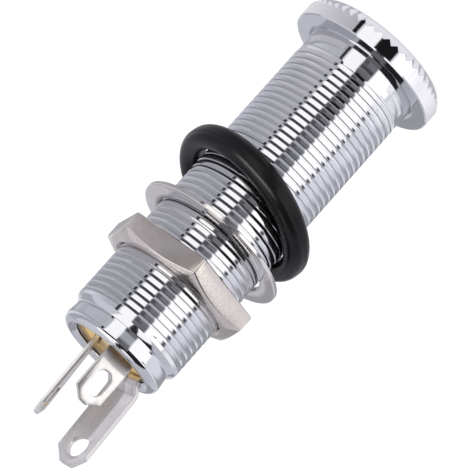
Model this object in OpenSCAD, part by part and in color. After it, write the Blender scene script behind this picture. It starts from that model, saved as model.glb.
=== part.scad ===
// Long-barrel panel jack for a 6.35 mm three-pole plug, standing on its head.
// Origin: centre of the head's front face. +Z runs along the barrel to the solder lugs.

/* [Plug] */
// Diameter of the plug that the jack takes
plug_d = 6.35; // [6.2:0.01:6.5]
// Radial room round the plug in the front bore
plug_clearance = 0.075; // [0.06:0.005:0.09]
// Depth of the front bore that grips the plug's sleeve
bore_l = 12; // [10:0.5:14]
// Width of the countersink at the mouth
mouth_w = 0.8; // [0.5:0.1:1.2]

/* [Head] */
// Diameter of the head
head_d = 16; // [15:0.1:18]
// Thickness of the head
head_t = 2.5; // [2:0.1:3.5]
// Width of the front bevel, along the radius
bevel_w = 0.6; // [0.4:0.05:0.8]
// Height of the front bevel, along the barrel
bevel_h = 0.68; // [0.5:0.02:0.9]
// Number of grip notches round the bevel
notch_count = 50; // [40:1:60]
// How far a grip notch runs up the side of the head, past the bevel
notch_rise = 0.45; // [0.3:0.01:0.55]
// How far inside the bevel's front edge a grip notch starts, along the radius
notch_in = 0.1; // [0.06:0.01:0.2]
// Width of the land left between two grip notches
notch_land = 0.1; // [0.06:0.01:0.2]
// Edge break on the panel side of the head
head_edge = 0.12; // [0.05:0.01:0.3]
// Width of the relief in the head's back face, round the neck
relief_w = 0.6; // [0.4:0.05:0.8]
// Depth of that relief
relief_d = 0.2; // [0.1:0.02:0.3]

/* [Barrel] */
// Outer diameter of the thread
thread_d = 12; // [11.8:0.1:12.6]
// Diameter of the plain neck between the head and the thread
neck_d = 11.85; // [11.4:0.05:11.9]
// Length of the plain neck
neck_l = 2.26; // [1:0.02:4]
// Length of the barrel from the front face to the end of the rolled lip
barrel_l = 39.8; // [38:0.1:46]
// Length of the plain tail behind the thread
tail_l = 2.95; // [2.7:0.05:3.4]
// Length of the taper from the thread to the waist
taper_l = 1.25; // [0.8:0.05:1.5]
// Wall of the waist, between the wafer seat and the outside
waist_wall = 0.45; // [0.35:0.01:0.55]
// How far the rolled lip stands out past the waist
lip_proud = 0.1; // [0.05:0.01:0.2]
// Radius of the rolled lip's back
lip_r = 0.75; // [0.6:0.05:0.9]
// Thickness of the rolled lip, along the barrel
lip_t = 0.4; // [0.35:0.05:0.5]
// Diameter of the opening in the lip
lip_hole_d = 8.2; // [8.1:0.05:8.6]
// How far the lip dips towards its opening
lip_dip = 0.15; // [0.05:0.01:0.2]

/* [Chamber] */
// Diameter of the chamber that holds the contact springs
chamber_d = 9; // [8.8:0.05:9.2]
// Wall of the insulating liner
liner_t = 0.25; // [0.15:0.05:0.35]
// Radial room round the liner
liner_clearance = 0.05; // [0.02:0.01:0.1]
// Diameter of the seat that holds the wafer stack
seat_d = 10.06; // [9.9:0.02:10.2]
// Radial room round the wafers and the sleeve ring
wafer_clearance = 0.05; // [0.02:0.01:0.1]
// Thickness of an insulating wafer
wafer_t = 1.15; // [0.9:0.05:1.3]
// Room round a tab in its wafer slot
slot_clearance = 0.15; // [0.08:0.01:0.2]

/* [Contacts] */
// Thickness of the contact and lug sheet
sheet_t = 0.45; // [0.35:0.05:0.55]
// Where a bend starts, measured from its corner
bend_run = 0.34; // [0.28:0.02:0.36]
// Radial room between the clamped plates and their seat
plate_gap = 0.6; // [0.5:0.05:0.7]
// Width of a spring leaf
leaf_w = 2.6; // [2.2:0.1:2.8]
// Room between a leaf's corners and the liner
leaf_gap = 0.12; // [0.06:0.01:0.16]
// How far a leaf's free end stays inside the rest of the leaf
leaf_tail_in = 0.15; // [0:0.05:0.3]
// How far a contact stands into the plug's path
contact_press = 0.3; // [0.1:0.05:0.4]
// How far the ring contact's plate runs past its leaf and its lug, in degrees
plate_side = 28; // [24:1:34]
// Half length of a contact's crest
crest_l = 1.9; // [1.5:0.1:2.2]
// Depth of the ring contact behind the front face
ring_depth = 20.8; // [19:0.1:22]
// Depth of the tip contact behind the front face
tip_depth = 26.3; // [25:0.1:28]

/* [Solder lugs] */
// Width of the tip and ring lugs
lug_w = 3.15; // [2.6:0.05:3.2]
// Corner cut at the end of the tip and ring lugs, across and along them
lug_corner = [1.2, 0.95]; // [0.6:0.05:1.3]
// Length of the wire slot in the tip and ring lugs
slot_l = 2.74; // [2.2:0.02:3]
// Width of the wire slot
slot_w = 1.7; // [1.2:0.1:1.8]
// Metal between the wire slot and the end of its lug
slot_margin = 1; // [0.7:0.05:1.3]
// Direction that the tip lug faces, in degrees from +X
tip_az = 4; // [-6:1:14]
// Distance of the tip lug from the axis
tip_lug_r = 1.95; // [1.85:0.05:2.1]
// Sideways place of the tip lug
tip_lug_side = 1; // [0.6:0.1:1.2]
// Height of the tip lug above the lip
tip_lug_h = 8.4; // [6:0.1:10]
// How far the tip lug leans in at its end
tip_lean = 0.26; // [0:0.02:0.3]
// Direction that the ring lug faces
ring_az = 251.5; // [246:0.1:262]
// Distance of the ring lug from the axis
ring_lug_r = 3.2; // [3.1:0.02:3.3]
// Height of the ring lug above the lip
ring_lug_h = 5.6; // [4.6:0.1:7]
// How far the ring lug steps out as it leaves the lip
ring_step = 0.45; // [0.3:0.05:0.5]
// Rise of that step
ring_step_h = 1.7; // [1.4:0.1:2]
// Direction that the sleeve lug faces
sleeve_az = 138; // [128:1:148]
// How far the sleeve ring reaches inside the lip's opening
sleeve_show = 0.15; // [0.1:0.01:0.25]
// Room between the middle of the sleeve lug's sheet and the lip's opening
sleeve_room = 0.5; // [0.48:0.01:0.6]
// Straight run of the sleeve lug between its foot and its step
sleeve_rise = 0.05; // [0.02:0.01:0.2]
// How far the sleeve lug steps out over the lip
sleeve_step = 1; // [0.8:0.05:1.1]
// Rise of that step
sleeve_step_h = 0.75; // [0.7:0.05:1.2]
// Lean of the sleeve lug above its step, in degrees
sleeve_lean = 3.3; // [0:0.1:5]
// Radius of the bow across the sleeve lug
sleeve_bow_r = 7; // [6:0.5:12]
// Width of the sleeve lug
sleeve_lug_w = 4.28; // [3.4:0.02:4.4]
// Corner cut at the end of the sleeve lug, across and along it
sleeve_corner = [1.35, 1.25]; // [0.8:0.05:1.4]
// Height of the sleeve lug above the lip
sleeve_lug_h = 9.8; // [8:0.1:12]
// Diameter of the wire hole in the sleeve lug
wire_hole_d = 2.2; // [1.6:0.1:2.4]
// Metal between the wire hole and the end of the sleeve lug
wire_hole_margin = 1; // [0.8:0.05:1.3]

/* [Nut and washers] */
// How far the nut's flats lie inside the head's rim
nut_inset = 0.7; // [0.4:0.05:0.8]
// Thickness of the nut
nut_t = 2.5; // [2:0.1:3]
// Height of the nut's flat face on the barrel
nut_z = 28.7; // [27:0.1:31]
// Direction of one corner of the nut
nut_az = 24; // [0:1:59]
// Radial room between the nut and the thread's crests
nut_clearance = 0.06; // [0.04:0.01:0.1]
// Slope of the nut's corner chamfer
nut_slope = 27; // [20:1:35]
// How far inside the flats the nut's corner chamfer starts
nut_crown_in = 0.4; // [0.1:0.02:0.5]
// Depth of the lead-in at each end of the nut's thread
nut_lead = 0.35; // [0.2:0.05:0.5]
// How far the flat washer's rim stays inside the head's
washer_inset = 0; // [-0.5:0.05:0.6]
// Thickness of the flat washer
washer_t = 0.48; // [0.3:0.02:0.7]
// Height of the flat washer's middle on the barrel
washer_z = 25.07; // [23:0.01:26]
// Radial room between the washer and the thread
washer_clearance = 0.3; // [0.26:0.01:0.4]
// How far the flat washer lies off the axis, towards -X
washer_shift = 0.2; // [0:0.01:0.22]
// Lean of the flat washer about X, and then about Y
washer_lean = [3, 0.7]; // [0:0.1:4]
// Thickness of the rubber ring's cord, along the radius
o_ring_t = 2.2; // [1.8:0.02:2.6]
// Width of the cord, which lies flattened on the thread
o_ring_w = 2.6; // [2.4:0.02:2.8]
// Height of the rubber ring's centre on the barrel
o_ring_z = 20; // [18:0.1:20.4]
// Lean of the rubber ring about X, and then about Y
o_ring_lean = [9, 12]; // [0:0.1:14]
// Least room between the leaning rubber ring and the thread
o_ring_clearance = 0.02; // [0.01:0.01:0.1]

/* [Hidden] */
$fn = 96;
bend_steps = 6;
past = 1;

bore_r = plug_d / 2 + plug_clearance;
head_r = head_d / 2;
thread_r = thread_d / 2;
neck_r = neck_d / 2;
neck_end_z = head_t + neck_l;
thread_end_z = barrel_l - tail_l;
seat_r = seat_d / 2;
waist_r = seat_r + waist_wall;
lip_hole_r = lip_hole_d / 2;
wafer_r = seat_r - wafer_clearance;
plate_r = seat_r - plate_gap;

// Heights of the clamped stack, from the lip down to its shoulder in the barrel
lip_z = barrel_l - lip_t;
sleeve_z = lip_z - sheet_t;
rear_z = sleeve_z - wafer_t;
tip_z = rear_z - sheet_t;
middle_z = tip_z - wafer_t;
ring_z = middle_z - sheet_t;
shoulder_z = ring_z - wafer_t;

// The leaves lie as far out as the liner lets their corners go
liner_r = chamber_d / 2 - liner_clearance;
leaf_r = sqrt(pow(liner_r - liner_t - leaf_gap, 2) - pow(leaf_w / 2, 2)) - sheet_t / 2;
crest_r = plug_d / 2 - contact_press + sheet_t / 2;
ring_leaf_az = tip_az + 180;
ring_foot_r = ring_lug_r - ring_step;
ring_plate_in = ring_foot_r - sheet_t / 2;
sleeve_hole_r = lip_hole_r - sleeve_show;
sleeve_foot_r = lip_hole_r - sleeve_room;
sleeve_lug_r = sleeve_foot_r + sleeve_step;
sleeve_mid = sleeve_z + sheet_t / 2;
sleeve_step_z = sleeve_mid + 2 * bend_run + sleeve_rise;
sleeve_bend_z = sleeve_step_z + sleeve_step_h;

nut_bore_r = thread_r + nut_clearance;
o_ring_tilt = acos(cos(o_ring_lean[0]) * cos(o_ring_lean[1]));
o_ring_flat = (o_ring_w - o_ring_t) / 2;
o_ring_in = thread_r + o_ring_clearance + o_ring_flat * sin(o_ring_tilt);
o_ring_r = (o_ring_in + o_ring_t / 2) / cos(o_ring_tilt);

function unit(v) = v / norm(v);
function left_of(v) = [-v[1], v[0]];

// A path with each inner corner replaced by a curve that starts run before it
function bent(path, run) = [
    for (i = [0 : len(path) - 1])
        each i == 0 || i == len(path) - 1 ? [path[i]] :
            let (a = path[i] + unit(path[i - 1] - path[i]) * run)
            let (b = path[i] + unit(path[i + 1] - path[i]) * run)
            [for (k = [0 : bend_steps])
                let (u = k / bend_steps)
                pow(1 - u, 2) * a + 2 * u * (1 - u) * path[i] + pow(u, 2) * b]
];

// Point i of a path, moved sideways by d with the joints mitred
function beside(path, i, d) =
    let (before = unit(path[max(i, 1)] - path[max(i, 1) - 1]))
    let (after = unit(path[min(i, len(path) - 2) + 1] - path[min(i, len(path) - 2)]))
    let (n = unit(left_of(before) + left_of(after)))
    path[i] + n * d / (n * left_of(before));

// Outline of a sheet of thickness t that follows a path
function sheet(path, t) = concat(
    [for (i = [0 : len(path) - 1]) beside(path, i, t / 2)],
    [for (i = [len(path) - 1 : -1 : 0]) beside(path, i, -t / 2)]
);

// A strip of sheet whose side view is a path of [distance from the axis, height]
module bent_strip(path, width) {
    rotate([90, 0, 0])
        linear_extrude(height = width, center = true)
            polygon(sheet(bent(path, bend_run), sheet_t));
}

// A ring of sheet with the same side view, turned about an upright line that lies bow_r inside its lug
module bowed_ring(path, lug_r, bow_r) {
    bow_middle = lug_r - bow_r;
    translate([bow_middle, 0, 0])
        rotate_extrude()
            translate([-bow_middle, 0])
                polygon(sheet(bent(path, bend_run), sheet_t));
}

// Everything that lies inside a lug's front view, with its two end corners cut off
module lug_front(width, top, corner) {
    half = width / 2;
    rotate([90, 0, 90])
        linear_extrude(height = head_r)
            polygon([[-half, 0], [half, 0], [half, top - corner[1]], [half - corner[0], top],
                     [corner[0] - half, top], [-half, top - corner[1]]]);
}

// The wire slot of a lug, cut right through it
module wire_slot(top) {
    end_r = slot_w / 2;
    straight = slot_l - slot_w;
    rotate([90, 0, 90])
        linear_extrude(height = head_r)
            translate([0, top - slot_margin - end_r]) {
                circle(r = end_r);
                translate([0, -straight]) circle(r = end_r);
                translate([-end_r, -straight]) square([slot_w, straight]);
            }
}

// Path of a lug's foot, in along a plate whose middle is at plate_mid and up to the lip
function lug_foot(r, plate_mid) = [[r + 2 * bend_run, plate_mid], [r, plate_mid], [r, lip_z]];

// A lug with a wire slot that follows a path up to its end
module slotted_lug(path, top) {
    difference() {
        intersection() {
            bent_strip(path, lug_w);
            lug_front(lug_w, top, lug_corner);
        }
        wire_slot(top);
    }
}

// A spring leaf, bent down from its plate and crested towards the plug at depth z
module leaf(plate_mid, z) {
    bent_strip([[leaf_r - 2 * bend_run, plate_mid], [leaf_r, plate_mid], [leaf_r, z + crest_l],
                [crest_r, z], [leaf_r - leaf_tail_in, z - crest_l]], leaf_w);
}

// Plan of the cut that lets a leaf turn down at a plate's edge
module leaf_relief() {
    out = leaf_r + sheet_t / 2;
    width = leaf_w + 2 * slot_clearance;
    translate([out, -width / 2]) square([seat_r, width]);
}

// Plan of the slot that a leaf passes through
module leaf_slot() {
    wide = leaf_w + 2 * slot_clearance;
    deep = sheet_t + 2 * slot_clearance;
    translate([leaf_r - deep / 2, -wide / 2]) square([deep, wide]);
}

// Plan of the slot that a lug passes through
module lug_slot(r) {
    wide = lug_w + 2 * slot_clearance;
    deep = sheet_t + 2 * slot_clearance;
    translate([r - deep / 2, -wide / 2]) square([deep, wide]);
}

// Half section of the turned barrel
module barrel_section() {
    lip_mid_r = waist_r + lip_proud - lip_r;
    lip_mid_z = barrel_l - lip_r;
    difference() {
        union() {
            polygon([[0, 0], [head_r - bevel_w, 0], [head_r, bevel_h], [head_r, head_t - head_edge],
                     [head_r - head_edge, head_t], [neck_r + relief_w, head_t],
                     [neck_r, head_t - relief_d], [neck_r, neck_end_z],
                     [thread_r, neck_end_z + thread_r - neck_r], [thread_r, thread_end_z],
                     [waist_r, thread_end_z + taper_l], [waist_r, lip_mid_z], [lip_mid_r, barrel_l],
                     [lip_hole_r, barrel_l - lip_dip], [0, barrel_l - lip_dip]]);
            translate([lip_mid_r, lip_mid_z]) circle(r = lip_r);
        }
        translate([-past, -past]) square([bore_r + past, barrel_l + 2 * past]);
        polygon([[0, -past], [bore_r + mouth_w + past, -past], [bore_r, mouth_w], [0, mouth_w]]);
        translate([-past, bore_l]) square([chamber_d / 2 + past, barrel_l]);
        translate([-past, shoulder_z]) square([seat_r + past, lip_z - shoulder_z]);
        translate([-past, shoulder_z]) square([lip_hole_r + past, barrel_l]);
    }
}

// One V-shaped cutter that dips into the bevel near its front edge and leaves it through the head's side
module grip_notch() {
    start = [head_r - bevel_w + notch_in, notch_in * bevel_h / bevel_w];
    slope = atan2(head_r - start[0], bevel_h + notch_rise - start[1]);
    half_w = head_r * tan(180 / notch_count) - notch_land / 2;
    open = half_w * past / (notch_rise * sin(slope));
    translate([start[0], 0, start[1]])
        rotate([0, slope, 0])
            linear_extrude(height = 2 * head_t, center = true)
                polygon([[0, 0], [past, open], [past, -open]]);
}

module barrel() {
    color([0.78, 0.79, 0.82])
        difference() {
            rotate_extrude() barrel_section();
            for (i = [0 : notch_count - 1])
                rotate([0, 0, i * 360 / notch_count]) grip_notch();
        }
}

module liner_tube() {
    color([0.55, 0.42, 0.24])
        translate([0, 0, bore_l])
            linear_extrude(height = shoulder_z - bore_l)
                difference() {
                    circle(r = liner_r);
                    circle(r = liner_r - liner_t);
                }
}

module front_wafer() {
    color([0.72, 0.5, 0.2])
        translate([0, 0, shoulder_z])
            linear_extrude(height = wafer_t)
                difference() {
                    circle(r = wafer_r);
                    rotate(tip_az) leaf_slot();
                    rotate(ring_leaf_az) leaf_slot();
                }
}

// Plan of the ring contact's plate: part of a ring that carries the leaf and the lug
module ring_plate() {
    reach = 2 * plate_r;
    leaf_side = ring_leaf_az - plate_side;
    lug_side = ring_az + plate_side;
    difference() {
        intersection() {
            circle(r = plate_r);
            polygon([[0, 0], for (k = [0 : bend_steps])
                let (a = leaf_side + k * (lug_side - leaf_side) / bend_steps)
                reach * [cos(a), sin(a)]]);
        }
        circle(r = ring_plate_in);
        rotate(ring_leaf_az) leaf_relief();
    }
}

module ring_contact() {
    plate_mid = ring_z + sheet_t / 2;
    top = barrel_l + ring_lug_h;
    rise = [[ring_lug_r, lip_z + ring_step_h], [ring_lug_r, top]];
    color([0.86, 0.83, 0.78])
        union() {
            translate([0, 0, ring_z]) linear_extrude(height = sheet_t) ring_plate();
            rotate(ring_leaf_az) leaf(plate_mid, ring_depth);
            rotate(ring_az) slotted_lug(concat(lug_foot(ring_foot_r, plate_mid), rise), top);
        }
}

module middle_wafer() {
    color([0.72, 0.5, 0.2])
        translate([0, 0, middle_z])
            linear_extrude(height = wafer_t)
                difference() {
                    circle(r = wafer_r);
                    rotate(tip_az) leaf_slot();
                    rotate(ring_az) lug_slot(ring_foot_r);
                }
}

// Plan of the tip contact's plate: the part of a disc outside its lug
module tip_plate() {
    difference() {
        circle(r = plate_r);
        translate([-seat_d, -seat_d]) square([seat_d + tip_lug_r, 2 * seat_d]);
        leaf_relief();
    }
}

module tip_contact() {
    plate_mid = tip_z + sheet_t / 2;
    top = barrel_l + tip_lug_h;
    rise = [[tip_lug_r - tip_lean, top]];
    color([0.86, 0.83, 0.78])
        rotate(tip_az) {
            translate([0, 0, tip_z]) linear_extrude(height = sheet_t) tip_plate();
            leaf(plate_mid, tip_depth);
            translate([0, tip_lug_side, 0])
                slotted_lug(concat(lug_foot(tip_lug_r, plate_mid), rise), top);
        }
}

module rear_wafer() {
    color([0.75, 0.55, 0.25])
        translate([0, 0, rear_z])
            linear_extrude(height = wafer_t)
                difference() {
                    circle(r = wafer_r);
                    rotate(tip_az) translate([0, tip_lug_side]) lug_slot(tip_lug_r);
                    rotate(ring_az) lug_slot(ring_foot_r);
                }
}

// Distance of the leaning sleeve lug from the axis, at height z above its step
function sleeve_r(z) = sleeve_lug_r + (z - sleeve_bend_z) * tan(sleeve_lean);

// Side view of the sleeve lug: in from its ring, up through the lip and out over it
function sleeve_path(top) =
    [[sleeve_hole_r + sheet_t, sleeve_mid], [sleeve_foot_r, sleeve_mid],
     [sleeve_foot_r, sleeve_step_z], [sleeve_lug_r, sleeve_bend_z], [sleeve_r(top), top]];

module sleeve_lug() {
    top = barrel_l + sleeve_lug_h;
    hole_z = top - wire_hole_margin - wire_hole_d / 2;
    color([0.88, 0.85, 0.8])
        union() {
            translate([0, 0, sleeve_z])
                linear_extrude(height = sheet_t)
                    difference() {
                        circle(r = wafer_r);
                        circle(r = sleeve_hole_r);
                    }
            rotate(sleeve_az)
                difference() {
                    intersection() {
                        bowed_ring(sleeve_path(top), sleeve_lug_r, sleeve_bow_r);
                        lug_front(sleeve_lug_w, top, sleeve_corner);
                    }
                    translate([sleeve_r(hole_z), 0, hole_z])
                        rotate([0, 90 + sleeve_lean, 0])
                            cylinder(d = wire_hole_d, h = head_r, center = true);
                }
        }
}

module hex_nut() {
    flat_r = head_r - nut_inset;
    corner_r = flat_r / cos(30);
    crown_r = flat_r - nut_crown_in;
    crown_reach = corner_r + past;
    crown_drop = (crown_reach - crown_r) * tan(nut_slope);
    color([0.8, 0.77, 0.75])
        translate([0, 0, nut_z])
            difference() {
                intersection() {
                    rotate(nut_az) cylinder(r = corner_r, h = nut_t, $fn = 6);
                    rotate_extrude()
                        polygon([[0, 0], [crown_reach, 0], [crown_reach, nut_t - crown_drop],
                                 [crown_r, nut_t], [0, nut_t]]);
                }
                translate([0, 0, -past]) cylinder(r = nut_bore_r, h = nut_t + 2 * past);
                cylinder(r1 = nut_bore_r + nut_lead, r2 = nut_bore_r, h = nut_lead);
                translate([0, 0, nut_t - nut_lead])
                    cylinder(r1 = nut_bore_r, r2 = nut_bore_r + nut_lead, h = nut_lead);
            }
}

module flat_washer() {
    color([0.8, 0.78, 0.79])
        translate([-washer_shift, 0, washer_z])
            rotate([washer_lean[0], washer_lean[1], 0])
                linear_extrude(height = washer_t, center = true)
                    difference() {
                        circle(r = head_r - washer_inset);
                        circle(r = thread_r + washer_clearance);
                    }
}

module o_ring() {
    color([0.12, 0.12, 0.13])
        translate([0, 0, o_ring_z])
            rotate([o_ring_lean[0], o_ring_lean[1], 0])
                rotate_extrude()
                    translate([o_ring_r, 0]) {
                        translate([0, o_ring_flat]) circle(d = o_ring_t);
                        translate([0, -o_ring_flat]) circle(d = o_ring_t);
                        square([o_ring_t, 2 * o_ring_flat], center = true);
                    }
}

barrel();
liner_tube();
front_wafer();
ring_contact();
middle_wafer();
tip_contact();
rear_wafer();
sleeve_lug();
hex_nut();
flat_washer();
o_ring();
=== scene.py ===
"""Looks of a long-barrel guitar output jack: chromed barrel, nut, washer, rubber ring and solder lugs."""

import math

import bmesh
import bpy
from mathutils import Matrix, Vector


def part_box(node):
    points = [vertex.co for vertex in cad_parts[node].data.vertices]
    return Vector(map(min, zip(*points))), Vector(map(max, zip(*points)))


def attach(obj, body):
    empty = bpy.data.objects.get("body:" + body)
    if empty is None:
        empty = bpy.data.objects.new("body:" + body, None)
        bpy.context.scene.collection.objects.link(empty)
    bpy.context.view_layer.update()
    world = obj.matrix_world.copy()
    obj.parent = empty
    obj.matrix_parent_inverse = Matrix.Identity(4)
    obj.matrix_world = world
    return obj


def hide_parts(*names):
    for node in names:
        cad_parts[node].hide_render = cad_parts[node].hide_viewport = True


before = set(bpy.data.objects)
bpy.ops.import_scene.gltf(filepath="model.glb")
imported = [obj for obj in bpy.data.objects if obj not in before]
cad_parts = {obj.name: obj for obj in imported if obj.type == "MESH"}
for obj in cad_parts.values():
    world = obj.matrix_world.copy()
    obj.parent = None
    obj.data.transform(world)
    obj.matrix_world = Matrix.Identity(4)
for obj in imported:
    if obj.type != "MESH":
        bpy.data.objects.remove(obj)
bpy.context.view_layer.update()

# Sizes are millimetres in the jack's own frame: the head's front face is at 0 and +Z runs to the lugs
MM = 0.001

# The photograph's camera
CAMERA_PLACE = (-1.355, -331.55, 111.09)
CAMERA_RIGHT = (-0.74713, -0.17085, -0.64235)
CAMERA_UP = (0.66468, -0.19204, -0.72202)
CAMERA_LENS = 277.05
CAMERA_SENSOR = 36.0
CAMERA_CLIP = (10.0, 20000.0)

# Head of the barrel, with its notched bevel. Columns are the steps round the whole barrel
COLUMNS = 200
BARREL_SHARP = math.radians(30)
HEAD_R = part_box("barrel")[1].x / MM
HEAD_T = 2.5
HEAD_EDGE = 0.12
BEVEL_W = 0.6
BEVEL_H = 0.68
NOTCH_COUNT = 50
NOTCH_RISE = 0.45
NOTCH_IN = 0.1
NOTCH_EDGE = 0.03
MOUTH_R = 4.05
MOUTH_T = 0.8
BORE_R = 3.25
BORE_L = 12.0
RELIEF_W = 0.3
RELIEF_D = 0.12

# Neck and thread. The groove's points are shares of the pitch and of its depth
NECK_R = 6.05
NECK_END = 4.68
NECK_TURN = 2.7
NECK_DROP = 0.14
NECK_STEPS = 14
THREAD_R = 6.0
THREAD_END = 36.85
THREAD_LEAD = 0.3
PITCH = 0.75
GROOVE_DEPTH = 0.1
GROOVE = [(0.0, 0.0), (0.019, 1.0), (0.42, 0.07), (0.48, 0.0), (0.74, 0.0)]
GROOVE_SHIFT = 0.15
THREAD_RUN_OUT = 0.14
THREAD_RUN_IN = 0.5

# Tail: taper and waist as points of radius and height, rolled lip and the chamber inside
BARREL_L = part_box("barrel")[1].z / MM
TAPER = [(5.965, 37.26), (5.5, 37.72), (5.465, 37.79), (5.462, 37.86)]
WAIST = [(5.498, 38.2), (5.533, 38.5), (5.568, 38.8)]
LIP_MIDDLE = (4.86, 39.2)
LIP_ROLL = 0.75
LIP_ROLL_SPAN = (-7, 115)
LIP_ROLL_STEPS = 20
LIP_T = 0.28
LIP_HOLE_R = 4.1
LIP_DIP = 0.15
CHAMBER_R = 4.5
SEAT_R = 5.03
SHOULDER_Z = 34.6

# Hex nut, with its columns close together at the rounded corners
NUT_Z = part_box("hex_nut")[0].z / MM
NUT_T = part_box("hex_nut")[1].z / MM - NUT_Z
NUT_FLAT_R = 7.3
NUT_CROWN_R = 6.9
NUT_SLOPE = math.radians(27)
NUT_TURN = math.radians(24)
NUT_BORE_R = 6.06
NUT_LEAD = 0.35
NUT_CORNER_R = 0.3
NUT_EDGE = 0.12
NUT_EDGE_BEND = (0.28, 0.3)
NUT_SHARP = math.radians(34)
NUT_SIDES = 6
NUT_SIDE_DEGREES = 60
NUT_STEP_DEGREES = 5
NUT_SIDE_TURN = math.radians(NUT_SIDE_DEGREES)
NUT_CORNER_SHARES = (0.35, 0.7, 1)

# Flat washer and rubber ring
WASHER_Z = 25.07
WASHER_T = 0.48
WASHER_R = 8.0
WASHER_HOLE_R = 6.14
WASHER_SHIFT = 0.12
WASHER_LEAN = (math.radians(3), math.radians(0.7))
WASHER_ROLL = 0.14
WASHER_ROLL_STEPS = 5
WASHER_BURR = 0.05
WASHER_COLUMNS = 180
WASHER_SHARP = math.radians(30)
RUBBER_Z = 20.0
RUBBER_LEAN = (math.radians(9), math.radians(12))
RUBBER_CORD_R = 1.1
RUBBER_CORD_STEPS = 24
RUBBER_FLAT = 0.2
RUBBER_GAP = 0.02
RUBBER_COLUMNS = 160
RUBBER_SHARP = math.radians(80)

# Solder lugs: rounded edges, the bow across the two slotted lugs, and the long lug's trough. A facing is in
# degrees round the barrel. The trough's heights are its start, its full depth from and to, and its end
LUG_EDGE = 0.05
LUG_EDGE_ANGLE = math.radians(40)
LUG_FLAT_ANGLE = math.radians(1)
LUG_SHARP = math.radians(32)
LUG_STRIP = 0.22
LUG_STRIPS_EACH_WAY = 12
LUG_BOWS = {
    "ring_contact": {"facing": 251.5, "from_z": 40.6, "bow_r": 20.0},
    "tip_contact": {"facing": 4.0, "from_z": 40.6, "bow_r": 14.0},
    "sleeve_lug": None,
}
BOW_FADE = 0.8
TROUGH_FACING = 318.0
TROUGH_AT = -0.3
TROUGH_Z = (40.9, 41.9, 46.0, 47.6)
TROUGH_HALF = 2.2
TROUGH_SLOPE = math.tan(math.radians(4))

# Points of a mesh that are closer than this are joined
WELD_GAP = 1e-4


def smooth_step(low, high, value):
    """0 below low, 1 above high and an even curve between."""
    share = min(1.0, max(0.0, (value - low) / (high - low)))
    return share * share * (3 - 2 * share)


def arc(middle, radius, first, last, steps):
    """Points of (radius, height) along an arc, with angles in degrees."""
    turn = [math.radians(first + (last - first) * i / steps) for i in range(steps + 1)]
    return [(middle[0] + radius * math.cos(a), middle[1] + radius * math.sin(a)) for a in turn]


def round_point(radius, angle, height):
    """A point at a radius and an angle round the barrel's axis."""
    return Vector((radius * math.cos(angle), radius * math.sin(angle), height))


def even_angles(columns):
    """Angles of evenly spaced columns, once round."""
    return [2 * math.pi * j / columns for j in range(columns)]


def lean_matrix(lean, place):
    """A lean about X and then about Y, at a place."""
    turn = Matrix.Rotation(lean[1], 4, "Y") @ Matrix.Rotation(lean[0], 4, "X")
    return Matrix.Translation(place) @ turn


def facing_ways(facing):
    """The way that a lug faces, and the way across it."""
    out = round_point(1, math.radians(facing), 0)
    return out, Vector((-out.y, out.x, 0))


def place_piece(name, mesh, body, node, material):
    """Puts a mesh in the scene as a piece that stands for a CAD node and moves with its body."""
    piece = bpy.data.objects.new(name, mesh)
    bpy.context.scene.collection.objects.link(piece)
    mesh.materials.append(material)
    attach(piece, body)
    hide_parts(node)
    return piece


def mark_sharp(made, sharp_angle):
    """Shades a mesh smooth, apart from its edges over an angle."""
    for face in made.faces:
        face.smooth = True
    for edge in made.edges:
        edge.smooth = len(edge.link_faces) == 2 and edge.calc_face_angle() < sharp_angle


def mesh_from(name, points, faces, sharp_angle):
    """A closed mesh from points in millimetres."""
    mesh = bpy.data.meshes.new(name)
    mesh.from_pydata([point * MM for point in points], [], faces)
    made = bmesh.new()
    made.from_mesh(mesh)
    bmesh.ops.remove_doubles(made, verts=made.verts, dist=WELD_GAP * MM)
    bmesh.ops.recalc_face_normals(made, faces=made.faces)
    mark_sharp(made, sharp_angle)
    made.to_mesh(mesh)
    made.free()
    return mesh


def ring_faces(rows, count):
    """Faces between rows of points, each once round, from the last row back to the first."""
    faces = []
    for k in range(rows):
        lower = k * count
        upper = (k + 1) % rows * count
        for j in range(count):
            side = (j + 1) % count
            faces.append((lower + j, lower + side, upper + side, upper + j))
    return faces


def notch_share(column):
    """How far into a grip notch one column lies, from 0 between two notches to 1 at a root."""
    across = (column * NOTCH_COUNT / COLUMNS + 0.5) % 1.0 - 0.5
    return 1 - 2 * abs(across)


def level_rows(profile):
    """Rows that are the same all round the barrel, one for each point of (radius, height)."""
    return [[point] * COLUMNS for point in profile]


def head_rows():
    """Rows of (radius, height) over the head, from its front face to the foot of the neck."""
    front_r = HEAD_R - BEVEL_W
    slope = math.atan2(BEVEL_H, BEVEL_W)
    rows = level_rows([
        (front_r - NOTCH_EDGE, 0.0),
        (front_r + NOTCH_EDGE * math.cos(slope), NOTCH_EDGE * math.sin(slope)),
        (front_r + NOTCH_IN, NOTCH_IN * math.tan(slope)),
    ])
    tops = [BEVEL_H + NOTCH_RISE * notch_share(j) for j in range(COLUMNS)]
    rows.append([(HEAD_R - NOTCH_EDGE, z - NOTCH_EDGE) for z in tops])
    rows.append([(HEAD_R, z + NOTCH_EDGE) for z in tops])
    rows += level_rows([
        (HEAD_R, BEVEL_H + NOTCH_RISE + 3 * NOTCH_EDGE),
        (HEAD_R, HEAD_T - HEAD_EDGE),
        (HEAD_R - HEAD_EDGE, HEAD_T),
        (NECK_R + RELIEF_W + 2 * NOTCH_EDGE, HEAD_T),
        (NECK_R + RELIEF_W, HEAD_T),
        (NECK_R, HEAD_T - RELIEF_D),
    ])
    return rows


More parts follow.
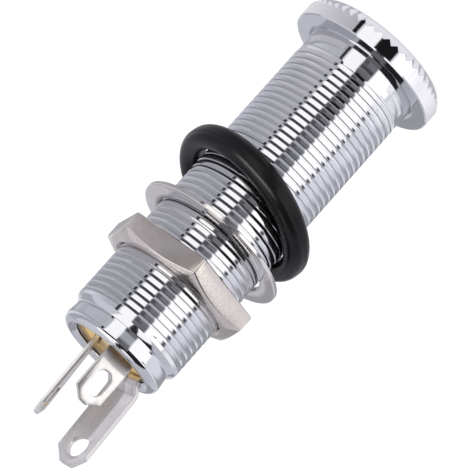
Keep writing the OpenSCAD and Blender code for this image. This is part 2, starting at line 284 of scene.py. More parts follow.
def neck_rows():
    """The plain neck, drawn in towards the thread."""
    foot = HEAD_T - RELIEF_D
    profile = []
    for i in range(1, NECK_STEPS + 1):
        z = foot + (NECK_END - foot) * i / NECK_STEPS
        drawn = max(0.0, (z - NECK_TURN) / (NECK_END - NECK_TURN))
        profile.append((NECK_R - NECK_DROP * drawn ** 2, z))
    return level_rows(profile)


def thread_rows():
    """Rows that climb with the thread, held level at both ends of it."""
    turns = math.ceil((THREAD_END - NECK_END) / PITCH) + 1
    start_r = NECK_R - NECK_DROP
    rows = []
    for turn in range(turns):
        for phase, depth in GROOVE:
            row = []
            for j in range(COLUMNS):
                z = NECK_END + PITCH * (turn + phase + GROOVE_SHIFT + j / COLUMNS - 1)
                z = min(THREAD_END, max(NECK_END, z))
                lead = start_r + (THREAD_R - start_r) * smooth_step(0, THREAD_LEAD, z - NECK_END)
                run_in = smooth_step(0, THREAD_RUN_IN, z - NECK_END)
                run_out = smooth_step(0, THREAD_RUN_OUT, THREAD_END - z)
                fade = run_out * run_in
                row.append((min(lead, THREAD_R - GROOVE_DEPTH * depth * fade), z))
            rows.append(row)
    return rows + level_rows([(THREAD_R, THREAD_END)])


def tail_profile():
    """Taper, waist, rolled lip and the bores behind them, back to the mouth."""
    roll = arc(LIP_MIDDLE, LIP_ROLL, *LIP_ROLL_SPAN, LIP_ROLL_STEPS)
    hole = [
        (LIP_HOLE_R + LIP_DIP, BARREL_L - LIP_DIP / 2),
        (LIP_HOLE_R, BARREL_L - LIP_DIP * 1.5),
        (LIP_HOLE_R, BARREL_L - LIP_T),
    ]
    inside = [
        (SEAT_R, BARREL_L - LIP_T),
        (SEAT_R, SHOULDER_Z),
        (CHAMBER_R, SHOULDER_Z),
        (CHAMBER_R, BORE_L),
        (BORE_R, BORE_L),
        (BORE_R, MOUTH_T),
        (MOUTH_R, 0.0),
    ]
    return TAPER + WAIST + roll + hole + inside


def barrel_mesh():
    """The turned barrel as one closed skin with a true helical thread and a notched bevel."""
    before = head_rows() + neck_rows()
    thread = thread_rows()
    rows = before + thread + level_rows(tail_profile())
    angles = even_angles(COLUMNS)
    points = [round_point(r, a, z) for row in rows for a, (r, z) in zip(angles, row)]
    faces = []
    first = len(before)
    last = first + len(thread) - 1
    for k in range(len(rows)):
        above = (k + 1) % len(rows)
        in_thread = first <= k < last
        for j in range(COLUMNS):
            side = (j + 1) % COLUMNS
            climb = len(GROOVE) if in_thread and side == 0 else 0
            low_side = min(k + climb, last) if in_thread else k
            high_side = min(above + climb, last) if in_thread else above
            faces.append((k * COLUMNS + j, low_side * COLUMNS + side,
                          high_side * COLUMNS + side, above * COLUMNS + j))
    return mesh_from("threaded_barrel", points, faces, BARREL_SHARP)


def nut_angles():
    """Angles of the nut's columns, from one corner to the next and so on round."""
    half_turn = NUT_SIDE_TURN / 2
    corner = half_turn - math.atan((NUT_FLAT_R - NUT_CORNER_R) * math.tan(half_turn) / NUT_FLAT_R)
    sector = [0.0] + [corner * share for share in NUT_CORNER_SHARES]
    sector += [math.radians(a) for a in range(NUT_STEP_DEGREES, NUT_SIDE_DEGREES, NUT_STEP_DEGREES)]
    sector += [NUT_SIDE_TURN - corner * share for share in reversed(NUT_CORNER_SHARES)]
    return [NUT_SIDE_TURN * side + a for side in range(NUT_SIDES) for a in sector]


def nut_side_at(angle):
    """Distance of the nut's side from its axis, with rounded corners."""
    half_turn = NUT_SIDE_TURN / 2
    off = (angle + half_turn) % NUT_SIDE_TURN - half_turn
    middle = (NUT_FLAT_R - NUT_CORNER_R) / math.cos(half_turn)
    reach = NUT_CORNER_R ** 2 - (middle * math.sin(off)) ** 2
    flat = NUT_FLAT_R / math.cos(half_turn - abs(off))
    if reach < 0:
        return flat
    return min(flat, middle * math.cos(off) + math.sqrt(reach))


def nut_mesh():
    """Hex nut with a chamfer on its tail side, rounded corners and broken edges."""
    angles = nut_angles()
    count = len(angles)
    sides = [nut_side_at(a) for a in angles]
    tops = [NUT_T - max(0.0, r - NUT_CROWN_R) * math.tan(NUT_SLOPE) for r in sides]
    in_step = NUT_EDGE * math.cos(NUT_SLOPE)
    up_step = NUT_EDGE * math.sin(NUT_SLOPE)
    bend_in = in_step * NUT_EDGE_BEND[0]
    bend_down = NUT_EDGE * NUT_EDGE_BEND[1]
    rows = [
        [(NUT_BORE_R, NUT_LEAD)] * count,
        [(NUT_BORE_R + NUT_LEAD, 0.0)] * count,
        [(r - NUT_EDGE, 0.0) for r in sides],
        [(r, NUT_EDGE) for r in sides],
        [(r, z - NUT_EDGE) for r, z in zip(sides, tops)],
        [(r - bend_in, z - bend_down) for r, z in zip(sides, tops)],
        [(r - in_step, z + up_step) for r, z in zip(sides, tops)],
        [(NUT_CROWN_R - NUT_EDGE, NUT_T)] * count,
        [(NUT_BORE_R + NUT_LEAD, NUT_T)] * count,
        [(NUT_BORE_R, NUT_T - NUT_LEAD)] * count,
    ]
    points = [round_point(r, a + NUT_TURN, NUT_Z + z) for row in rows for a, (r, z) in zip(angles, row)]
    return mesh_from("hex_nut_plated", points, ring_faces(len(rows), count), NUT_SHARP)


def turned_mesh(name, profile, columns, sharp_angle, turn):
    """A closed ring turned from a closed outline of (radius, height)."""
    angles = even_angles(columns)
    points = [turn @ round_point(r, a, z) for r, z in profile for a in angles]
    return mesh_from(name, points, ring_faces(len(profile), columns), sharp_angle)


def washer_mesh():
    """Stamped washer: rolled over on the tail side and sharp on the other, lying askew on the thread."""
    half = WASHER_T / 2
    roll_z = half - WASHER_ROLL
    rim = arc((WASHER_R - WASHER_ROLL, roll_z), WASHER_ROLL, 90, 0, WASHER_ROLL_STEPS)
    hole = arc((WASHER_HOLE_R + WASHER_ROLL, roll_z), WASHER_ROLL, 180, 90, WASHER_ROLL_STEPS)
    outline = rim + [
        (WASHER_R, WASHER_BURR - half),
        (WASHER_R - WASHER_BURR, -half),
        (WASHER_HOLE_R + WASHER_BURR, -half),
        (WASHER_HOLE_R, WASHER_BURR - half),
    ] + hole
    turn = lean_matrix(WASHER_LEAN, (-WASHER_SHIFT, 0, WASHER_Z))
    return turned_mesh("stamped_washer", outline, WASHER_COLUMNS, WASHER_SHARP, turn)


def rubber_ring_mesh():
    """The rubber ring, flattened a little on the thread and leaning on the barrel."""
    tilt = math.acos(math.cos(RUBBER_LEAN[0]) * math.cos(RUBBER_LEAN[1]))
    inside = THREAD_R + RUBBER_GAP + RUBBER_FLAT * math.sin(tilt)
    ring_r = (inside + RUBBER_CORD_R) / math.cos(tilt)
    outline = arc((ring_r, RUBBER_FLAT), RUBBER_CORD_R, 0, 180, RUBBER_CORD_STEPS)
    outline += arc((ring_r, -RUBBER_FLAT), RUBBER_CORD_R, 180, 360, RUBBER_CORD_STEPS)
    turn = lean_matrix(RUBBER_LEAN, (0, 0, RUBBER_Z))
    return turned_mesh("rubber_ring", outline, RUBBER_COLUMNS, RUBBER_SHARP, turn)


def cut_faces(made, place, normal):
    """Cuts a mesh's faces along a plane, so that they can bend there."""
    geometry = made.verts[:] + made.edges[:] + made.faces[:]
    bmesh.ops.bisect_plane(made, geom=geometry, plane_co=place, plane_no=normal)


def bow_lug(made, facing, from_z, bow_r):
    """Bows a lug across its width, above a height."""
    out, side = facing_ways(facing)
    for step in range(-LUG_STRIPS_EACH_WAY, LUG_STRIPS_EACH_WAY + 1):
        cut_faces(made, side * step * LUG_STRIP * MM, side)
    for vert in made.verts:
        across = vert.co.dot(side) / MM
        share = smooth_step(from_z - BOW_FADE, from_z + BOW_FADE, vert.co.z / MM)
        vert.co -= out * (across ** 2 / (2 * bow_r)) * share * MM


def press_trough(made):
    """Presses a shallow trough along the long lug, between its root and its hole."""
    out, side = facing_ways(TROUGH_FACING)
    start, full_from, full_to, end = TROUGH_Z
    cut_faces(made, side * TROUGH_AT * MM, side)
    for z in TROUGH_Z:
        cut_faces(made, Vector((0, 0, z * MM)), Vector((0, 0, 1)))
    for vert in made.verts:
        if vert.co.dot(out) > 0 or vert.co.z < start * MM:
            continue
        height = vert.co.z / MM
        share = smooth_step(start, full_from, height) * (1 - smooth_step(full_to, end, height))
        across = abs(vert.co.dot(side) - TROUGH_AT * MM)
        vert.co -= out * max(0.0, TROUGH_HALF * MM - across) * TROUGH_SLOPE * share


def stamped_mesh(node, bow):
    """A copy of a stamped CAD piece with rounded edges, and with a bow or else a trough in its lug."""
    made = bmesh.new()
    made.from_mesh(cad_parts[node].data)
    bmesh.ops.remove_doubles(made, verts=made.verts, dist=WELD_GAP * MM)
    bmesh.ops.dissolve_limit(made, angle_limit=LUG_FLAT_ANGLE, verts=made.verts, edges=made.edges)
    sharp = [e for e in made.edges if len(e.link_faces) == 2 and e.calc_face_angle() > LUG_EDGE_ANGLE]
    bmesh.ops.bevel(made, geom=sharp, offset=LUG_EDGE * MM, segments=2, profile=0.5, affect="EDGES")
    if bow:
        bow_lug(made, **bow)
    else:
        press_trough(made)
    bmesh.ops.triangulate(made, faces=[f for f in made.faces if len(f.verts) > 4])
    mark_sharp(made, LUG_SHARP)
    mesh = bpy.data.meshes.new(node + "_stamping")
    made.to_mesh(mesh)
    made.free()
    return mesh


# Ends that a mask goes between
RISING = (0.0, 1.0)
FALLING = (1.0, 0.0)
PLAIN_WHITE = (1, 1, 1, 1)


def put(tree, kind, settings=None, inputs=None):
    """Adds a shader node. Inputs are set to values, or joined where a socket is given."""
    made = tree.nodes.new(kind)
    for name, value in (settings or {}).items():
        setattr(made, name, value)
    for name, value in (inputs or {}).items():
        if isinstance(value, bpy.types.NodeSocket):
            tree.links.new(value, made.inputs[name])
        else:
            made.inputs[name].default_value = value
    return made


def blend_colors(tree, share, first, second):
    """Mixes two colours by a share. The Mix node has its colours at 6 and 7, and their result at 2."""
    return put(tree, "ShaderNodeMix", {"data_type": "RGBA"}, {0: share, 6: first, 7: second}).outputs[2]


def mix_values(tree, share, first, second):
    """Mixes two values by a share. The Mix node has its values at 2 and 3, and their result at 0."""
    return put(tree, "ShaderNodeMix", {"data_type": "FLOAT"}, {0: share, 2: first, 3: second}).outputs[0]


def sums(tree, operation, *values):
    """One step of arithmetic between values or sockets."""
    return put(tree, "ShaderNodeMath", {"operation": operation}, dict(enumerate(values))).outputs[0]


def spread(tree, value, span, ends):
    """Maps a value from a span to two ends, and holds it at the ends outside the span."""
    made = put(tree, "ShaderNodeMapRange", None, {
        "Value": value, "From Min": span[0], "From Max": span[1], "To Min": ends[0], "To Max": ends[1]})
    return made.outputs["Result"]


def surface_spot(tree):
    """The place on a piece, in the jack's own frame."""
    return put(tree, "ShaderNodeTexCoord").outputs["Object"]


def noise(tree, spot, scale, detail, roughness=0.5):
    """Noise over a surface."""
    return put(tree, "ShaderNodeTexNoise", None, {
        "Vector": spot, "Scale": scale, "Detail": detail, "Roughness": roughness}).outputs["Fac"]


# Spans over which a finish's noises and masks take effect, and how they shape its bump
CLOUD_SPAN = (0.35, 0.7)
GRAIN_SPAN = (0.3, 0.7)
SPECK_SPAN = (0.48, 0.66)
PIT_SPAN = (0.05, 0.16)
PIT_HEIGHT = -0.3
WORN_SPAN = (0.51, 0.6)
PLATED_BUMP = 0.5
HOLLOW_SAMPLES = 6

# Resin-bonded board. A bump is a distance and a strength
BOARD_FIBRE_SCALE = 2200.0
BOARD_FIBRE_SHARE = 0.5
BOARD_CLOUD_SCALE = 500.0
BOARD_SPAN = (0.55, 0.95)
BOARD_REACH = 0.8
# Painted shade in the board's hollows: its span, how much it darkens and its dark brown tone
BOARD_HOLLOW_SPAN = (0.3, 1.0)
BOARD_HOLLOW_MOST = 0.25
BOARD_PAINTED_SHADE_TONE = (0.2, 0.1, 0.03, 1)
BOARD_ROUGH = (0.25, 0.4)
BOARD_BUMP = (0.02, 0.4)

# Rubber
RUBBER_GRAIN_SCALE = 5000.0
RUBBER_CLOUD_SCALE = 350.0
RUBBER_TONES = ((0.005, 0.005, 0.006, 1), (0.011, 0.011, 0.012, 1))
RUBBER_ROUGH = (0.22, 0.29)
RUBBER_SPECULAR = 0.21
RUBBER_BUMP = (0.01, 0.3)


def new_group(name, inputs, outputs):
    """An empty shader node group with named value inputs and outputs."""
    group = bpy.data.node_groups.new(name, "ShaderNodeTree")
    for label, default in inputs:
        socket = group.interface.new_socket(label, in_out="INPUT", socket_type="NodeSocketFloat")
        socket.default_value = default
    for label in outputs:
        group.interface.new_socket(label, in_out="OUTPUT", socket_type="NodeSocketFloat")
    return group, group.nodes.new("NodeGroupInput").outputs, group.nodes.new("NodeGroupOutput").inputs


def metal_finish_group():
    """Clouds, fine grain and small pits of a plated surface."""
    group, given, out = new_group(
        "Plated finish", [("Cloud scale", 300.0), ("Grain scale", 6000.0), ("Pit scale", 2500.0)],
        ["Cloud", "Grain", "Pits"])
    spot = surface_spot(group)
    cloud = noise(group, spot, given["Cloud scale"], detail=4.0, roughness=0.6)
    grain = noise(group, spot, given["Grain scale"], detail=3.0, roughness=0.7)
    group.links.new(cloud, out["Cloud"])
    group.links.new(grain, out["Grain"])
    pits = put(group, "ShaderNodeTexVoronoi", None, {"Vector": spot, "Scale": given["Pit scale"]})
    group.links.new(spread(group, pits.outputs["Distance"], PIT_SPAN, FALLING), out["Pits"])
    return group


def edge_group():
    """Masks for worn edges, and for hollows where shade is painted."""
    group, given, out = new_group("Edges and hollows", [("Reach", 0.0006)], ["Edge", "Hollow"])
    point = put(group, "ShaderNodeNewGeometry").outputs["Pointiness"]
    group.links.new(spread(group, point, WORN_SPAN, RISING), out["Edge"])
    shade = put(group, "ShaderNodeAmbientOcclusion", {"samples": HOLLOW_SAMPLES}, {
        "Distance": given["Reach"]})
    group.links.new(sums(group, "SUBTRACT", 1.0, shade.outputs["AO"]), out["Hollow"])
    return group


def start_material(name):
    """A material with its shader, ready for its own nodes."""
    material = bpy.data.materials.new(name)
    material.use_nodes = True
    tree = material.node_tree
    return material, tree, tree.nodes["Principled BSDF"]


def use_group(tree, group, inputs):
    """Places a node group in a material and returns its outputs."""
    return put(tree, "ShaderNodeGroup", {"node_tree": group}, inputs).outputs


def roughen(tree, shader, height, distance, strength):
    """Feeds a height to the shader's normal as bump. The distance is in millimetres."""
    bump = put(tree, "ShaderNodeBump", None, {
        "Height": height, "Distance": distance * MM, "Strength": strength})
    tree.links.new(bump.outputs["Normal"], shader.inputs["Normal"])


def half_mask(tree, half):
    """1 over the half of a lug on one side of its trough, fading out towards the tip."""
    spot = surface_spot(tree)
    across = put(tree, "ShaderNodeVectorMath", {"operation": "DOT_PRODUCT"}, {0: spot, 1: half["side"]})
    height = put(tree, "ShaderNodeSeparateXYZ", None, {"Vector": spot})
    beside = spread(tree, across.outputs["Value"], [x * MM for x in half["across"]], RISING)
    below = spread(tree, height.outputs["Z"], [z * MM for z in half["height"]], FALLING)
    return sums(tree, "MULTIPLY", beside, below)


def plated_material(name, tones, rough, grain, hollow, half=None):
    """Plated metal: clouded tone, specks, painted shade in hollows, brighter edges and a fine grain."""
    material, tree, shader = start_material(name)
    marks = use_group(tree, plated_finish, {
        "Cloud scale": grain["cloud"], "Grain scale": grain["grain"], "Pit scale": grain["pit"]})
    places = use_group(tree, edges_and_hollows, {"Reach": hollow["reach"] * MM})
    clouded = spread(tree, marks["Cloud"], CLOUD_SPAN, RISING)
    tone = blend_colors(tree, clouded, tones["clean"], tones["dull"])
    specks = spread(tree, marks["Grain"], SPECK_SPAN, (0.0, grain["speck"]))
    tone = blend_colors(tree, specks, tone, tones["specks_and_painted_shade"])
    # Painted shade: hollows are darkened towards a dark tone, the same one that the specks use
    painted_shade = spread(tree, places["Hollow"], hollow["span"], (0.0, hollow["most"]))
    tone = blend_colors(tree, painted_shade, tone, tones["specks_and_painted_shade"])
    # Painted shade over one half of the long lug, beside its trough
    if half:
        tone = blend_colors(tree, half_mask(tree, half), tone, half["tone"])
    worn = sums(tree, "MULTIPLY", places["Edge"], hollow["edge"])
    tone = blend_colors(tree, worn, tone, tones["edge"])
    tree.links.new(tone, shader.inputs["Base Color"])
    shader.inputs["Metallic"].default_value = 1.0
    gloss = spread(tree, marks["Grain"], GRAIN_SPAN, rough)
    gloss = sums(tree, "MULTIPLY_ADD", marks["Pits"], grain["pit_rough"], gloss)
    tree.links.new(gloss, shader.inputs["Roughness"])
    height = sums(tree, "MULTIPLY_ADD", marks["Pits"], PIT_HEIGHT, marks["Grain"])
    roughen(tree, shader, height, grain["bump"], PLATED_BUMP)
    return material


def board_material(name, pale, dark):
    """Resin-bonded board: clouded tone with short fibres and painted shade in hollows."""
    material, tree, shader = start_material(name)
    spot = surface_spot(tree)
    fibres = noise(tree, spot, BOARD_FIBRE_SCALE, detail=4.0)
    cloud = noise(tree, spot, BOARD_CLOUD_SCALE, detail=2.0)
    mixed = sums(tree, "MULTIPLY_ADD", fibres, BOARD_FIBRE_SHARE, cloud)
    tone = blend_colors(tree, spread(tree, mixed, BOARD_SPAN, RISING), pale, dark)
    places = use_group(tree, edges_and_hollows, {"Reach": BOARD_REACH * MM})
    # Painted shade: the hollows are darkened towards a dark brown
    painted_shade = spread(tree, places["Hollow"], BOARD_HOLLOW_SPAN, (0.0, BOARD_HOLLOW_MOST))
    tone = blend_colors(tree, painted_shade, tone, BOARD_PAINTED_SHADE_TONE)
    tree.links.new(tone, shader.inputs["Base Color"])
    tree.links.new(spread(tree, fibres, GRAIN_SPAN, BOARD_ROUGH), shader.inputs["Roughness"])
    roughen(tree, shader, fibres, *BOARD_BUMP)
    return material


def rubber_material():
    """Satin black rubber with a faint mould grain and dusty clouds."""
    material, tree, shader = start_material("satin black rubber")
    spot = surface_spot(tree)
    grain = noise(tree, spot, RUBBER_GRAIN_SCALE, detail=3.0)
    cloud = noise(tree, spot, RUBBER_CLOUD_SCALE, detail=3.0)
    tone = blend_colors(tree, spread(tree, cloud, CLOUD_SPAN, RISING), *RUBBER_TONES)
    tree.links.new(tone, shader.inputs["Base Color"])
    tree.links.new(spread(tree, grain, GRAIN_SPAN, RUBBER_ROUGH), shader.inputs["Roughness"])
    shader.inputs["Specular IOR Level"].default_value = RUBBER_SPECULAR
    roughen(tree, shader, grain, *RUBBER_BUMP)
    return material


# The studio's level by rise, and the light panels and dark cards over it: a span of azimuth, a span of rise,
# a level and how soft the sides are, in degrees. Azimuth 0 is the camera's side, and it grows towards -X.
# Later cards lie over earlier ones. The tint gives way to white over a span of levels
STUDIO_SKY = [(-90, 0.98), (-60, 0.98), (-54, 0.6), (45, 0.55), (90, 0.5)]
STUDIO_CARDS = [
    # Greys on the +X side
    ((-100, -50), (-57, -38), 0.35, 2),
    ((-190, -100), (-40, -24), 0.58, 2),
    ((-100, -50), (-38, -24), 0.48, 2),
    ((-190, -50), (-24, -19.2), 0.58, 2),
    ((-190, -50), (-19.2, -10.5), 0.41, 2),
    ((-190, -50), (-15.2, -10.5), 0.38, 2),
    ((-190, -118), (-19.2, -15.5), 0.62, 34),
    ((-190, -118), (-15.5, -10.5), 0.44, 34),
    ((-190, -50), (-10.5, 6), 0.58, 2),
    ((-190, -95), (-10.5, 6), 0.82, 40),
    ((-190, -50), (6, 100), 0.48, 2),
    ((-190, -50), (33, 100), 0.72, 4),
    # Paler greys on the -X side
    ((66, 100), (-57, -38), 0.62, 2),
    ((66, 190), (-38, -24), 0.9, 2),
    ((104, 190), (-38, -24), 0.62, 24),
    ((66, 190), (-24, -10.5), 0.88, 2),
    ((66, 190), (-15.2, -10.5), 0.8, 2),
    ((104, 190), (-18.2, -10.5), 0.39, 24),
    ((66, 190), (-10.5, 0), 1.0, 2),
    ((66, 190), (0, 30), 0.62, 2),
    ((120, 190), (-10.5, 30), 0.66, 24),
    ((66, 190), (30, 100), 0.6, 2),
    # Light and dark stripes on the camera's side
    ((-52, -9), (-57, -38), 0.07, 2),
    ((-9, 21.5), (-57, -24), 0.48, 2),
    ((21.5, 66), (-57, -40), 1.2, 2),
    ((-39.5, -9), (-38, 14), 1.2, 4),
    ((-42, -9), (14, 37), 0.02, 2),
    ((-64, -9), (39, 80), 1.2, 2),
    ((-9, 21.5), (-24, -11), 0.1, 2),
    ((1, 21.5), (-24, -11), 0.2, 4),
    ((-9, 21.5), (-11, -7), 0.05, 2),
    ((-9, 21.5), (-7, 30), 0.17, 2),
    ((-9, 21.5), (30, 90), 0.03, 2),
    ((21.5, 70), (-40, 4), 1.3, 4),
    ((58.5, 69), (-20, -11), 0.1, 5),
    ((69, 77), (-10.5, 6), 0.85, 3),
    ((21.5, 75), (4, 90), 0.02, 4),
    ((21.5, 75), (58, 79), 1.2, 2),
    ((-48, -42), (-19.5, 14), 0.02, 2),
    ((-62, -2), (36, 46), 1.8, 6),
    # Behind the jack
    ((-190, -150), (4, 28), 0.6, 2),
    ((150, 190), (4, 28), 0.37, 2),
]
CARD_RISE_SOFT = 2.0
STUDIO_TINT = (0.955, 0.965, 1.055, 1)
STUDIO_TINT_FADE = (0.9, 1.05)


def radian_span(first, last):
    """Two angles in degrees, as a span in radians."""
    return math.radians(first), math.radians(last)


def span_mask(tree, value, span, soft):
    """1 inside a span of degrees and 0 outside, with soft ends."""
    start = radian_span(span[0] - soft / 2, span[0] + soft / 2)
    end = radian_span(span[1] - soft / 2, span[1] + soft / 2)
    return sums(tree, "MULTIPLY", spread(tree, value, start, RISING), spread(tree, value, end, FALLING))


def make_studio():
    """Soft light all round with panels and dark cards for the chrome to show, and white for the camera."""
    world = bpy.data.worlds.new("studio")
    bpy.context.scene.world = world
    world.use_nodes = True
    tree = world.node_tree
    tree.nodes.clear()
    way = put(tree, "ShaderNodeTexCoord").outputs["Generated"]
    parts = put(tree, "ShaderNodeSeparateXYZ", None, {"Vector": way}).outputs
    left = sums(tree, "MULTIPLY", parts["X"], -1.0)
    front = sums(tree, "MULTIPLY", parts["Y"], -1.0)
    around = sums(tree, "ARCTAN2", left, front)
    rise = sums(tree, "ARCSINE", parts["Z"])
    level = STUDIO_SKY[0][1]
    for (low, _), (high, next_level) in zip(STUDIO_SKY, STUDIO_SKY[1:]):
        level = mix_values(tree, spread(tree, rise, radian_span(low, high), RISING), level, next_level)
    for side_span, rise_span, card_level, side_soft in STUDIO_CARDS:
        side_mask = span_mask(tree, around, side_span, side_soft)
        rise_mask = span_mask(tree, rise, rise_span, CARD_RISE_SOFT)
        level = mix_values(tree, sums(tree, "MULTIPLY", side_mask, rise_mask), level, card_level)
    tint = blend_colors(tree, spread(tree, level, STUDIO_TINT_FADE, RISING), STUDIO_TINT, PLAIN_WHITE)
    seen = put(tree, "ShaderNodeLightPath").outputs["Is Camera Ray"]
    color = blend_colors(tree, seen, tint, PLAIN_WHITE)
    strength = mix_values(tree, seen, level, 1.0)
    light = put(tree, "ShaderNodeBackground", None, {"Color": color, "Strength": strength})
    out = put(tree, "ShaderNodeOutputWorld")
    tree.links.new(light.outputs[0], out.inputs["Surface"])


# The floor lies just under the head, and its own glow brings it to white for the camera
FLOOR_HALF = 3000.0
FLOOR_Z = -0.02
FLOOR_GREY = (0.3, 0.3, 0.3, 1)
FLOOR_ROUGH = 0.9
FLOOR_GLOW = 0.88


def make_floor():
    """A plain white floor that keeps a soft shadow and stays out of the chrome."""
    mesh = bpy.data.meshes.new("studio_floor")
    corners = [(-1, -1), (1, -1), (1, 1), (-1, 1)]
    mesh.from_pydata([Vector((x * FLOOR_HALF, y * FLOOR_HALF, FLOOR_Z)) * MM for x, y in corners],
                     [], [(0, 1, 2, 3)])
    floor = bpy.data.objects.new("studio_floor", mesh)
    bpy.context.scene.collection.objects.link(floor)
    floor.visible_glossy = False
    material, tree, shader = start_material("white floor")
    shader.inputs["Base Color"].default_value = FLOOR_GREY
    shader.inputs["Roughness"].default_value = FLOOR_ROUGH
    shader.inputs["Specular IOR Level"].default_value = 0.0
    seen = put(tree, "ShaderNodeLightPath").outputs["Is Camera Ray"]
    glow = put(tree, "ShaderNodeEmission", None, {
        "Color": PLAIN_WHITE, "Strength": sums(tree, "MULTIPLY", seen, FLOOR_GLOW)})
    both = put(tree, "ShaderNodeAddShader", None, {0: shader.outputs[0], 1: glow.outputs[0]})
    tree.links.new(both.outputs[0], tree.nodes["Material Output"].inputs["Surface"])
    mesh.materials.append(material)


# A long soft lamp that is linked to the rubber ring and the amber board in the lip: its azimuth and rise
# from the ring's near side, its distance, its sides and its power in watts
RING_LAMP_WAY = (math.radians(-27), math.radians(38))
RING_LAMP_FAR = 300.0
RING_LAMP_SIZE = (330.0, 90.0)
RING_LAMP_POWER = 0.75


def make_ring_lamp(lit_objects):
    """Lays a soft streak along the ring's near side and brings light to the board inside the lip."""
    data = bpy.data.lights.new("ring_lamp", "AREA")
    data.shape = "RECTANGLE"
    data.size = RING_LAMP_SIZE[0] * MM
    data.size_y = RING_LAMP_SIZE[1] * MM
    data.energy = RING_LAMP_POWER
    lamp = bpy.data.objects.new("ring_lamp", data)
    bpy.context.scene.collection.objects.link(lamp)
    around, rise = RING_LAMP_WAY
    way = Vector((-math.sin(around) * math.cos(rise), -math.cos(around) * math.cos(rise), math.sin(rise)))
    near_side = Vector((0, -(THREAD_R + 2 * RUBBER_CORD_R), RUBBER_Z))
    lamp.location = (near_side + way * RING_LAMP_FAR) * MM
    lamp.rotation_euler = way.to_track_quat("Z", "Y").to_euler()
    lit = bpy.data.collections.new("lit by the ring lamp")
    for lit_object in lit_objects:
        lit.objects.link(lit_object)
    lamp.light_linking.receiver_collection = lit


# Cards on the floor beside the jack, which only the metal shows: the radius of the head or the neck that
# mirrors them, a span of turn round it in degrees, a span of reach along its mirror lines, and the levels at
# both ends of the turn
FLOOR_CARDS = [
    (HEAD_R, (-85, 85), (0.05, 1.2), (0.95, 0.95)),
    (HEAD_R, (-66, -24), (1.2, 8.2), (0.84, 0.53)),
    (HEAD_R, (-85, -66), (1.2, 8.2), (0.84, 0.84)),
    (HEAD_R, (-4.5, 10), (1.2, 8.2), (0.012, 0.012)),
    (HEAD_R, (-23.9, -20.7), (1.2, 8.2), (0.01, 0.01)),
    (HEAD_R, (28.8, 38), (1.2, 8.2), (1.3, 1.1)),
    (HEAD_R, (38, 52), (1.2, 8.2), (1.1, 1.15)),
    (HEAD_R, (52, 85), (1.2, 8.2), (1.15, 0.7)),
    (NECK_R, (28, 36), (9.4, 19), (1.1, 1.1)),
    (NECK_R, (-72, -26), (9.4, 18.5), (0.62, 0.55)),
    (NECK_R, (38, 66), (14, 18), (1.1, 0.85)),
]
FLOOR_CARD_Z = -0.01
FLOOR_CARD_COLUMNS = 24
FLOOR_CARD_TINT = (0.985, 0.975, 1.03, 1)


def floor_card(name, mirror_r, turn_span, reach_span, levels, material):
    """A flat card whose sides follow the lines that the head or the neck mirrors to the camera."""
    points = []
    shades = []
    for i in range(FLOOR_CARD_COLUMNS + 1):
        share = i / FLOOR_CARD_COLUMNS
        turn = math.radians(turn_span[0] + (turn_span[1] - turn_span[0]) * share)
        for reach in reach_span:
            left = mirror_r * math.sin(turn) + reach * math.sin(2 * turn)
            front = mirror_r * math.cos(turn) + reach * math.cos(2 * turn)
            points.append(Vector((-left, -front, FLOOR_CARD_Z)) * MM)
            shades.append(levels[0] + (levels[1] - levels[0]) * share)
    faces = [(2 * i, 2 * i + 1, 2 * i + 3, 2 * i + 2) for i in range(FLOOR_CARD_COLUMNS)]
    mesh = bpy.data.meshes.new(name)
    mesh.from_pydata(points, [], faces)
    mesh.attributes.new("level", "FLOAT", "POINT").data.foreach_set("value", shades)
    mesh.materials.append(material)
    card = bpy.data.objects.new(name, mesh)
    bpy.context.scene.collection.objects.link(card)
    card.visible_camera = False
    card.visible_diffuse = False
    card.visible_transmission = False
    card.visible_shadow = False


def make_floor_cards():
    """Lays the cards beside the jack, with one material that takes its level from each card."""
    material = bpy.data.materials.new("floor cards")
    material.use_nodes = True
    tree = material.node_tree
    tree.nodes.clear()
    level = put(tree, "ShaderNodeAttribute", {"attribute_name": "level"}).outputs["Fac"]
    glow = put(tree, "ShaderNodeEmission", None, {"Color": FLOOR_CARD_TINT, "Strength": level})
    out = put(tree, "ShaderNodeOutputMaterial")
    tree.links.new(glow.outputs[0], out.inputs["Surface"])
    for number, card in enumerate(FLOOR_CARDS):
        floor_card("floor_card_" + str(number + 1), *card, material)


def make_camera():
    """The photograph's view."""
    right = Vector(CAMERA_RIGHT)
    back = right.cross(Vector(CAMERA_UP)).normalized()
    up = back.cross(right).normalized()
    data = bpy.data.cameras.new("photo_camera")
    data.lens = CAMERA_LENS
    data.sensor_width = CAMERA_SENSOR
    data.clip_start = CAMERA_CLIP[0] * MM
    data.clip_end = CAMERA_CLIP[1] * MM
    camera = bpy.data.objects.new("photo_camera", data)
    bpy.context.scene.collection.objects.link(camera)
    turn = Matrix((right.normalized(), up, back)).transposed().to_4x4()
    camera.matrix_world = Matrix.Translation(Vector(CAMERA_PLACE) * MM) @ turn
    bpy.context.scene.camera = camera


plated_finish = metal_finish_group()
edges_and_hollows = edge_group()

# Chrome of the barrel. In each plating, bump and reach are millimetres, and painted shade darkens hollows
# over the span
chrome = plated_material(
    "polished chrome plate",
    {"clean": (0.80, 0.80, 0.82, 1), "dull": (0.75, 0.755, 0.775, 1),
     "specks_and_painted_shade": (0.3, 0.3, 0.33, 1), "edge": (0.88, 0.88, 0.91, 1)},
    (0.05, 0.1),
    {"cloud": 400.0, "grain": 9000.0, "pit": 2600.0, "pit_rough": 0.04, "bump": 0.0005, "speck": 0.05},
    {"reach": 0.5, "span": (0.4, 1.0), "most": 0.5, "edge": 0.3})

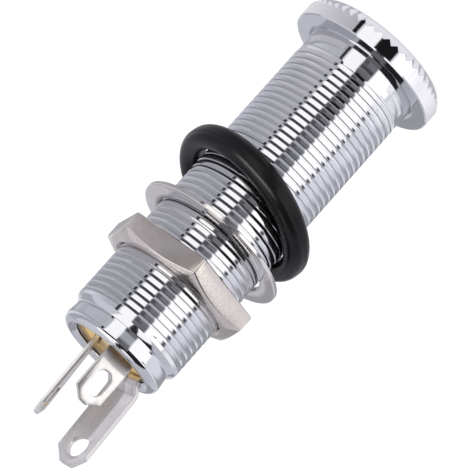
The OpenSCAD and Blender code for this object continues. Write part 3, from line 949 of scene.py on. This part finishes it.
# Satin nickel of the nut
nickel = plated_material(
    "satin nickel plate",
    {"clean": (0.84, 0.765, 0.72, 1), "dull": (0.75, 0.66, 0.605, 1),
     "specks_and_painted_shade": (0.25, 0.2, 0.17, 1), "edge": (0.95, 0.9, 0.88, 1)},
    (0.17, 0.25),
    {"cloud": 450.0, "grain": 5000.0, "pit": 2000.0, "pit_rough": 0.02, "bump": 0.003, "speck": 0.22},
    {"reach": 0.7, "span": (0.3, 1.0), "most": 0.6, "edge": 0.5})

# Brighter nickel of the washer, with painted shade where it lies close to the thread
bright_nickel = plated_material(
    "bright nickel plate",
    {"clean": (0.86, 0.82, 0.805, 1), "dull": (0.79, 0.745, 0.73, 1),
     "specks_and_painted_shade": (0.1, 0.09, 0.09, 1), "edge": (0.95, 0.92, 0.91, 1)},
    (0.1, 0.16),
    {"cloud": 500.0, "grain": 7000.0, "pit": 2400.0, "pit_rough": 0.03, "bump": 0.0008, "speck": 0.06},
    {"reach": 0.75, "span": (0.12, 0.4), "most": 0.92, "edge": 0.5})

# Tin of the lugs, and the same with painted shade over one half of the long lug
tin_plating = {
    "tones": {"clean": (0.93, 0.895, 0.88, 1), "dull": (0.86, 0.82, 0.8, 1),
              "specks_and_painted_shade": (0.22, 0.15, 0.11, 1), "edge": (0.97, 0.95, 0.94, 1)},
    "rough": (0.26, 0.34),
    "grain": {"cloud": 450.0, "grain": 6500.0, "pit": 1800.0, "pit_rough": 0.02, "bump": 0.0008,
              "speck": 0.06},
    "hollow": {"reach": 1.5, "span": (0.35, 0.9), "most": 0.8, "edge": 0.4},
}
# Painted shade on the long lug's half beside its trough: its soft side, its fade towards the tip and its
# tone
SHADED_HALF_SOFT = 0.1
shaded_half = {
    "side": facing_ways(TROUGH_FACING)[1],
    "across": (TROUGH_AT - SHADED_HALF_SOFT, TROUGH_AT + SHADED_HALF_SOFT),
    "height": (45.2, 48.2),
    "tone": (0.62, 0.585, 0.575, 1),
}
tin = plated_material("bright tin plate", **tin_plating)
half_shaded_tin = plated_material("half shaded tin plate", **tin_plating, half=shaded_half)

# Insulators and rubber
amber = board_material("amber resin board", (0.95, 0.72, 0.36, 1), (0.8, 0.55, 0.22, 1))
brown_fibre = board_material("brown fibre liner", (0.36, 0.24, 0.12, 1), (0.2, 0.12, 0.05, 1))
rubber = rubber_material()

make_camera()
make_studio()
make_floor()
make_floor_cards()

place_piece("threaded_barrel", barrel_mesh(), "jack", "barrel", chrome)
place_piece("hex_nut_plated", nut_mesh(), "nut", "hex_nut", nickel)
place_piece("stamped_washer", washer_mesh(), "jack", "flat_washer", bright_nickel)
ring = place_piece("rubber_ring", rubber_ring_mesh(), "jack", "o_ring", rubber)
make_ring_lamp([ring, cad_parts["rear_wafer"]])
for stamped, bow in LUG_BOWS.items():
    plating = tin if bow else half_shaded_tin
    place_piece(stamped + "_stamping", stamped_mesh(stamped, bow), "jack", stamped, plating)

for board in ("front_wafer", "middle_wafer", "rear_wafer", "liner_tube"):
    board_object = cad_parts[board]
    board_object.data.materials.clear()
    board_object.data.materials.append(brown_fibre if board == "liner_tube" else amber)

bpy.context.scene.view_settings.view_transform = "Standard"
